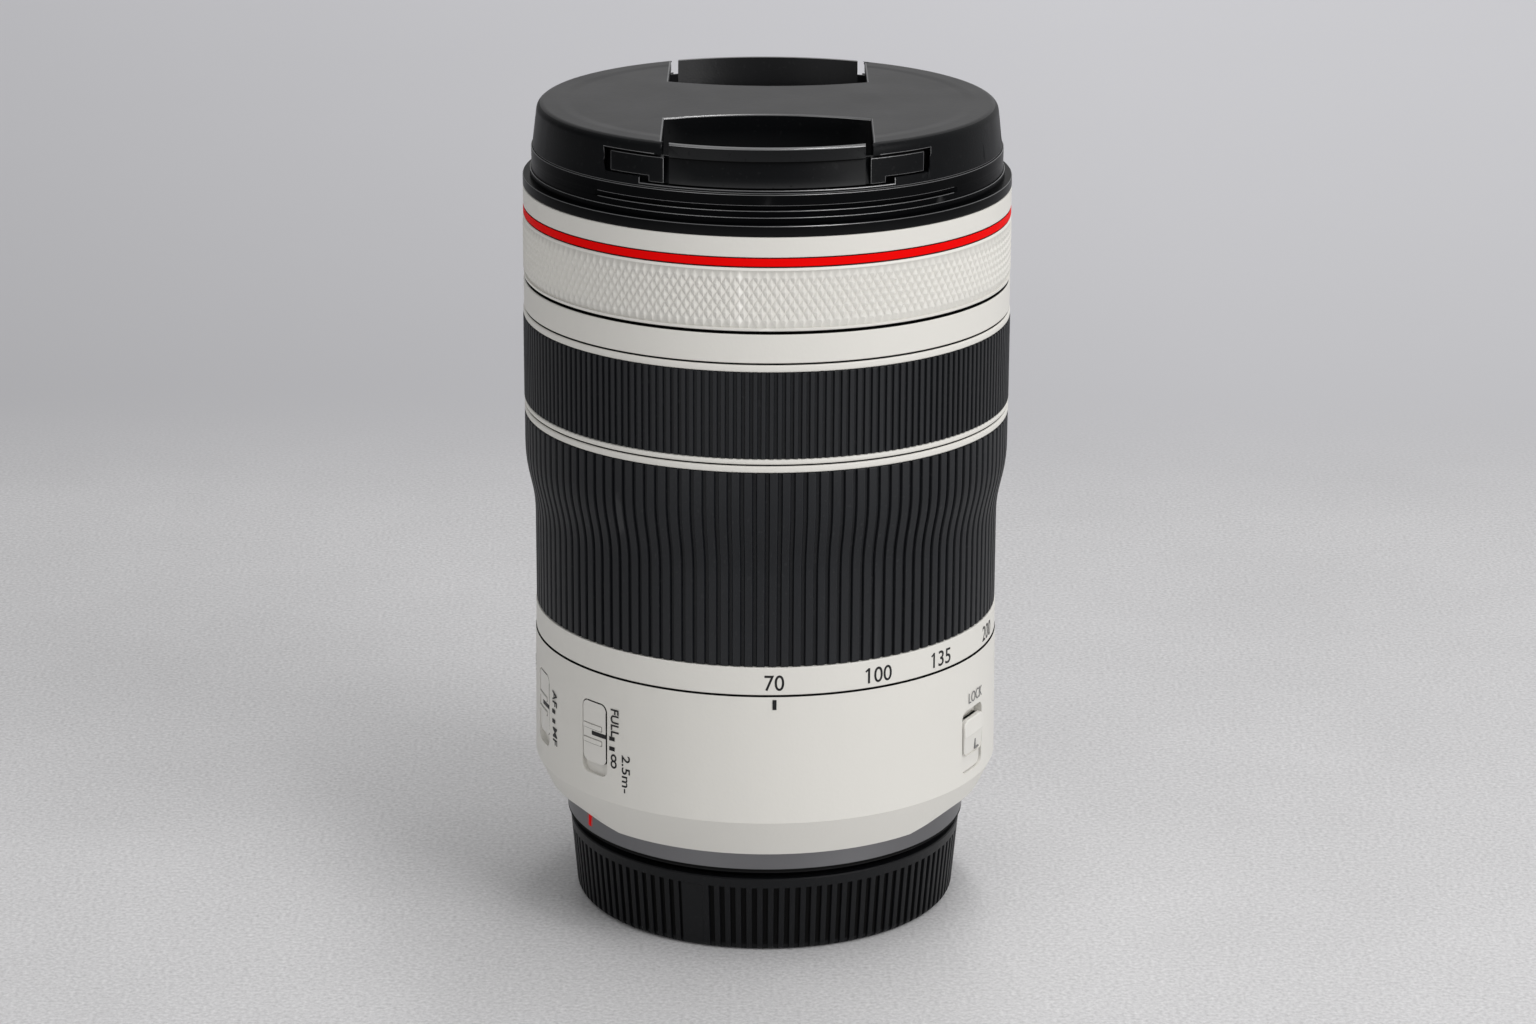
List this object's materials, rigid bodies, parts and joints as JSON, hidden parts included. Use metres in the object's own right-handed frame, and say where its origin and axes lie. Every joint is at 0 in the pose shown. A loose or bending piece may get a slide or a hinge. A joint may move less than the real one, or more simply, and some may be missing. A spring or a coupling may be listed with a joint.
{
  "type": "camera zoom lens",
  "caption": "Short-barrelled camera zoom lens with an extending head, ribbed zoom and focus rings, knurled control ring, slide switches, pinch front cap and bayonet rear cap.",
  "frame": {"origin": "on the ground under the centre of the rear cap, on the lens axis, with the lens standing on that cap", "axes": "+Z along the lens axis towards the front of the lens, -Y towards the zoom index mark and the viewer, +X to the right with the zoom lock"},
  "size_m": [0.0836, 0.0836, 0.1417],
  "materials": {
    "cream_paint": "warm cream satin paint with a fine grain",
    "red_paint": "red satin paint",
    "grip_rubber": "near-black ribbed rubber",
    "seal_rubber": "black soft rubber",
    "cap_plastic": "satin black moulded plastic",
    "front_ring_plastic": "satin black reinforced plastic",
    "switch_plastic": "cream satin plastic",
    "mount_metal": "machined dark grey metal",
    "black_metal": "black anodised",
    "black_plastic": "black reinforced plastic",
    "bright_steel": "ground steel",
    "blade_steel": "matt black coating",
    "roller_brass": "turned brass",
    "contact_gold": "gold plated",
    "board_green": "solder mask",
    "coated_glass": "polished with a dark green and violet coating"
  },
  "bodies": {
    "barrel": {"rear_barrel": "cream_paint", "rear_frame": "black_metal", "guide_tube": "black_metal", "outer_sleeve": "black_metal", "center_band": "cream_paint", "sleeve_retaining_ring": "black_metal", "mount_ring": "mount_metal", "index_mark": "red_paint", "mount_gasket": "seal_rubber", "mount_screws": "bright_steel", "contact_block": "black_plastic", "contact_pins": "contact_gold", "main_board": "board_green", "rear_group_cell": "black_metal", "rear_group_glass": "coated_glass", "focus_guide_rods": "bright_steel", "iris_housing": "black_plastic"},
    "zoom_control": {"zoom_ring": "cream_paint", "zoom_grip": "grip_rubber", "cam_tube": "black_metal", "zoom_drive_pins": "bright_steel"},
    "head": {"inner_tube": "cream_paint", "head_barrel": "cream_paint", "red_ring": "red_paint", "hood_mount_ring": "front_ring_plastic", "front_cell": "black_plastic", "front_glass": "coated_glass", "front_retaining_ring": "black_plastic", "head_rollers": "roller_brass"},
    "variator": {"variator_cell": "black_metal", "variator_glass": "coated_glass", "variator_rollers": "roller_brass"},
    "focus_control": {"focus_ring": "cream_paint", "focus_grip": "grip_rubber"},
    "function_control": {"control_ring": "cream_paint"},
    "focus_group": {"focus_carriage": "black_plastic", "focus_glass": "coated_glass"},
    "stabilizer_cross": {"stabilizer_slider": "black_plastic"},
    "stabilizer_lens": {"stabilizer_lens_frame": "black_plastic", "stabilizer_glass": "coated_glass"},
    "iris_control": {"iris_drive_ring": "black_plastic"},
    "zoom_lock": {"zoom_lock_lever": "switch_plastic"},
    "front_cap": {"cap_body": "cap_plastic", "cap_springs": "bright_steel"},
    "front_tab": {"cap_front_tab": "cap_plastic"},
    "rear_tab": {"cap_rear_tab": "cap_plastic"},
    "rear_cap": {"rear_cap": "cap_plastic"},
    "focus_limit_slide": {"focus_limit_switch": "switch_plastic"},
    "focus_mode_slide": {"focus_mode_switch": "switch_plastic"},
    "stabilizer_slide": {"stabilizer_switch": "switch_plastic"},
    "stabilizer_mode_slide": {"stabilizer_mode_switch": "switch_plastic"},
    "blade_1": {"iris_blade_1": "blade_steel"},
    "blade_2": {"iris_blade_2": "blade_steel"},
    "blade_3": {"iris_blade_3": "blade_steel"},
    "blade_4": {"iris_blade_4": "blade_steel"},
    "blade_5": {"iris_blade_5": "blade_steel"},
    "blade_6": {"iris_blade_6": "blade_steel"},
    "blade_7": {"iris_blade_7": "blade_steel"},
    "blade_8": {"iris_blade_8": "blade_steel"},
    "blade_9": {"iris_blade_9": "blade_steel"}
  },
  "joints": [
    {"name": "zoom_turn", "type": "hinge", "parent": "barrel", "child": "zoom_control", "pos_m": [0, 0, 0.05385], "axis": [0, 0, 1], "range_deg": [-70, 0]},
    {"name": "head_travel", "type": "slide", "parent": "barrel", "child": "head", "axis": [0, 0, 1], "range_m": [0, 0.05]},
    {"name": "variator_travel", "type": "slide", "parent": "barrel", "child": "variator", "axis": [0, 0, 1], "range_m": [0, 0.015]},
    {"name": "focus_ring_turn", "type": "hinge", "parent": "barrel", "child": "focus_control", "pos_m": [0, 0, 0.0904], "axis": [0, 0, 1], "continuous": true},
    {"name": "control_ring_turn", "type": "hinge", "parent": "barrel", "child": "function_control", "pos_m": [0, 0, 0.1118], "axis": [0, 0, 1], "continuous": true},
    {"name": "focus_travel", "type": "slide", "parent": "barrel", "child": "focus_group", "axis": [0, 0, 1], "range_m": [0, 0.0035]},
    {"name": "stabilizer_sideways", "type": "slide", "parent": "barrel", "child": "stabilizer_cross", "axis": [1, 0, 0], "range_m": [-0.0008, 0.0008], "stiffness_N_per_m": 80},
    {"name": "stabilizer_crossways", "type": "slide", "parent": "stabilizer_cross", "child": "stabilizer_lens", "axis": [0, 1, 0], "range_m": [-0.0008, 0.0008], "stiffness_N_per_m": 80},
    {"name": "iris_turn", "type": "hinge", "parent": "barrel", "child": "iris_control", "pos_m": [0, 0, 0.04525], "axis": [0, 0, 1], "range_deg": [0, 3.69]},
    {"name": "blade_1_swing", "type": "hinge", "parent": "barrel", "child": "blade_1", "pos_m": [0, -0.0263, 0.0423], "axis": [0, 0, 1], "range_deg": [0, 38]},
    {"name": "blade_2_swing", "type": "hinge", "parent": "barrel", "child": "blade_2", "pos_m": [0.01691, -0.02015, 0.0423], "axis": [0, 0, 1], "range_deg": [0, 38]},
    {"name": "blade_3_swing", "type": "hinge", "parent": "barrel", "child": "blade_3", "pos_m": [0.0259, -0.00457, 0.0423], "axis": [0, 0, 1], "range_deg": [0, 38]},
    {"name": "blade_4_swing", "type": "hinge", "parent": "barrel", "child": "blade_4", "pos_m": [0.02278, 0.01315, 0.0423], "axis": [0, 0, 1], "range_deg": [0, 38]},
    {"name": "blade_5_swing", "type": "hinge", "parent": "barrel", "child": "blade_5", "pos_m": [0.009, 0.02471, 0.0423], "axis": [0, 0, 1], "range_deg": [0, 38]},
    {"name": "blade_6_swing", "type": "hinge", "parent": "barrel", "child": "blade_6", "pos_m": [-0.009, 0.02471, 0.0423], "axis": [0, 0, 1], "range_deg": [0, 38]},
    {"name": "blade_7_swing", "type": "hinge", "parent": "barrel", "child": "blade_7", "pos_m": [-0.02278, 0.01315, 0.0423], "axis": [0, 0, 1], "range_deg": [0, 38]},
    {"name": "blade_8_swing", "type": "hinge", "parent": "barrel", "child": "blade_8", "pos_m": [-0.0259, -0.00457, 0.0423], "axis": [0, 0, 1], "range_deg": [0, 38]},
    {"name": "blade_9_swing", "type": "hinge", "parent": "barrel", "child": "blade_9", "pos_m": [-0.01691, -0.02015, 0.0423], "axis": [0, 0, 1], "range_deg": [0, 38]},
    {"name": "focus_limit_slide_travel", "type": "slide", "parent": "barrel", "child": "focus_limit_slide", "axis": [0, 0, -1], "range_m": [0, 0.00175]},
    {"name": "focus_mode_slide_travel", "type": "slide", "parent": "barrel", "child": "focus_mode_slide", "axis": [0, 0, -1], "range_m": [0, 0.00175]},
    {"name": "stabilizer_slide_travel", "type": "slide", "parent": "barrel", "child": "stabilizer_slide", "axis": [0, 0, -1], "range_m": [0, 0.00175]},
    {"name": "stabilizer_mode_slide_travel", "type": "slide", "parent": "barrel", "child": "stabilizer_mode_slide", "axis": [0, 0, -1], "range_m": [0, 0.00175]},
    {"name": "zoom_lock_travel", "type": "slide", "parent": "barrel", "child": "zoom_lock", "axis": [0, 0, 1], "range_m": [0, 0.0015]},
    {"name": "front_cap_lift", "type": "slide", "parent": "head", "child": "front_cap", "axis": [0, 0, 1], "range_m": [0, 0.015]},
    {"name": "front_tab_press", "type": "slide", "parent": "front_cap", "child": "front_tab", "axis": [0, 1, 0], "range_m": [0, 0.0018], "stiffness_N_per_m": 500},
    {"name": "rear_tab_press", "type": "slide", "parent": "front_cap", "child": "rear_tab", "axis": [0, -1, 0], "range_m": [0, 0.0018], "stiffness_N_per_m": 500},
    {"name": "rear_cap_turn", "type": "hinge", "parent": "barrel", "child": "rear_cap", "pos_m": [0, 0, 0.0097], "axis": [0, 0, 1], "range_deg": [-60, 0]}
  ],
  "couplings": [
    {"joint": "head_travel", "follows": "zoom_turn", "m_per_rad": -0.040926},
    {"joint": "variator_travel", "follows": "zoom_turn", "m_per_rad": -0.012278},
    {"joint": "blade_1_swing", "follows": "iris_turn", "ratio": 10.309},
    {"joint": "blade_2_swing", "follows": "iris_turn", "ratio": 10.309},
    {"joint": "blade_3_swing", "follows": "iris_turn", "ratio": 10.309},
    {"joint": "blade_4_swing", "follows": "iris_turn", "ratio": 10.309},
    {"joint": "blade_5_swing", "follows": "iris_turn", "ratio": 10.309},
    {"joint": "blade_6_swing", "follows": "iris_turn", "ratio": 10.309},
    {"joint": "blade_7_swing", "follows": "iris_turn", "ratio": 10.309},
    {"joint": "blade_8_swing", "follows": "iris_turn", "ratio": 10.309},
    {"joint": "blade_9_swing", "follows": "iris_turn", "ratio": 10.309}
  ]
}
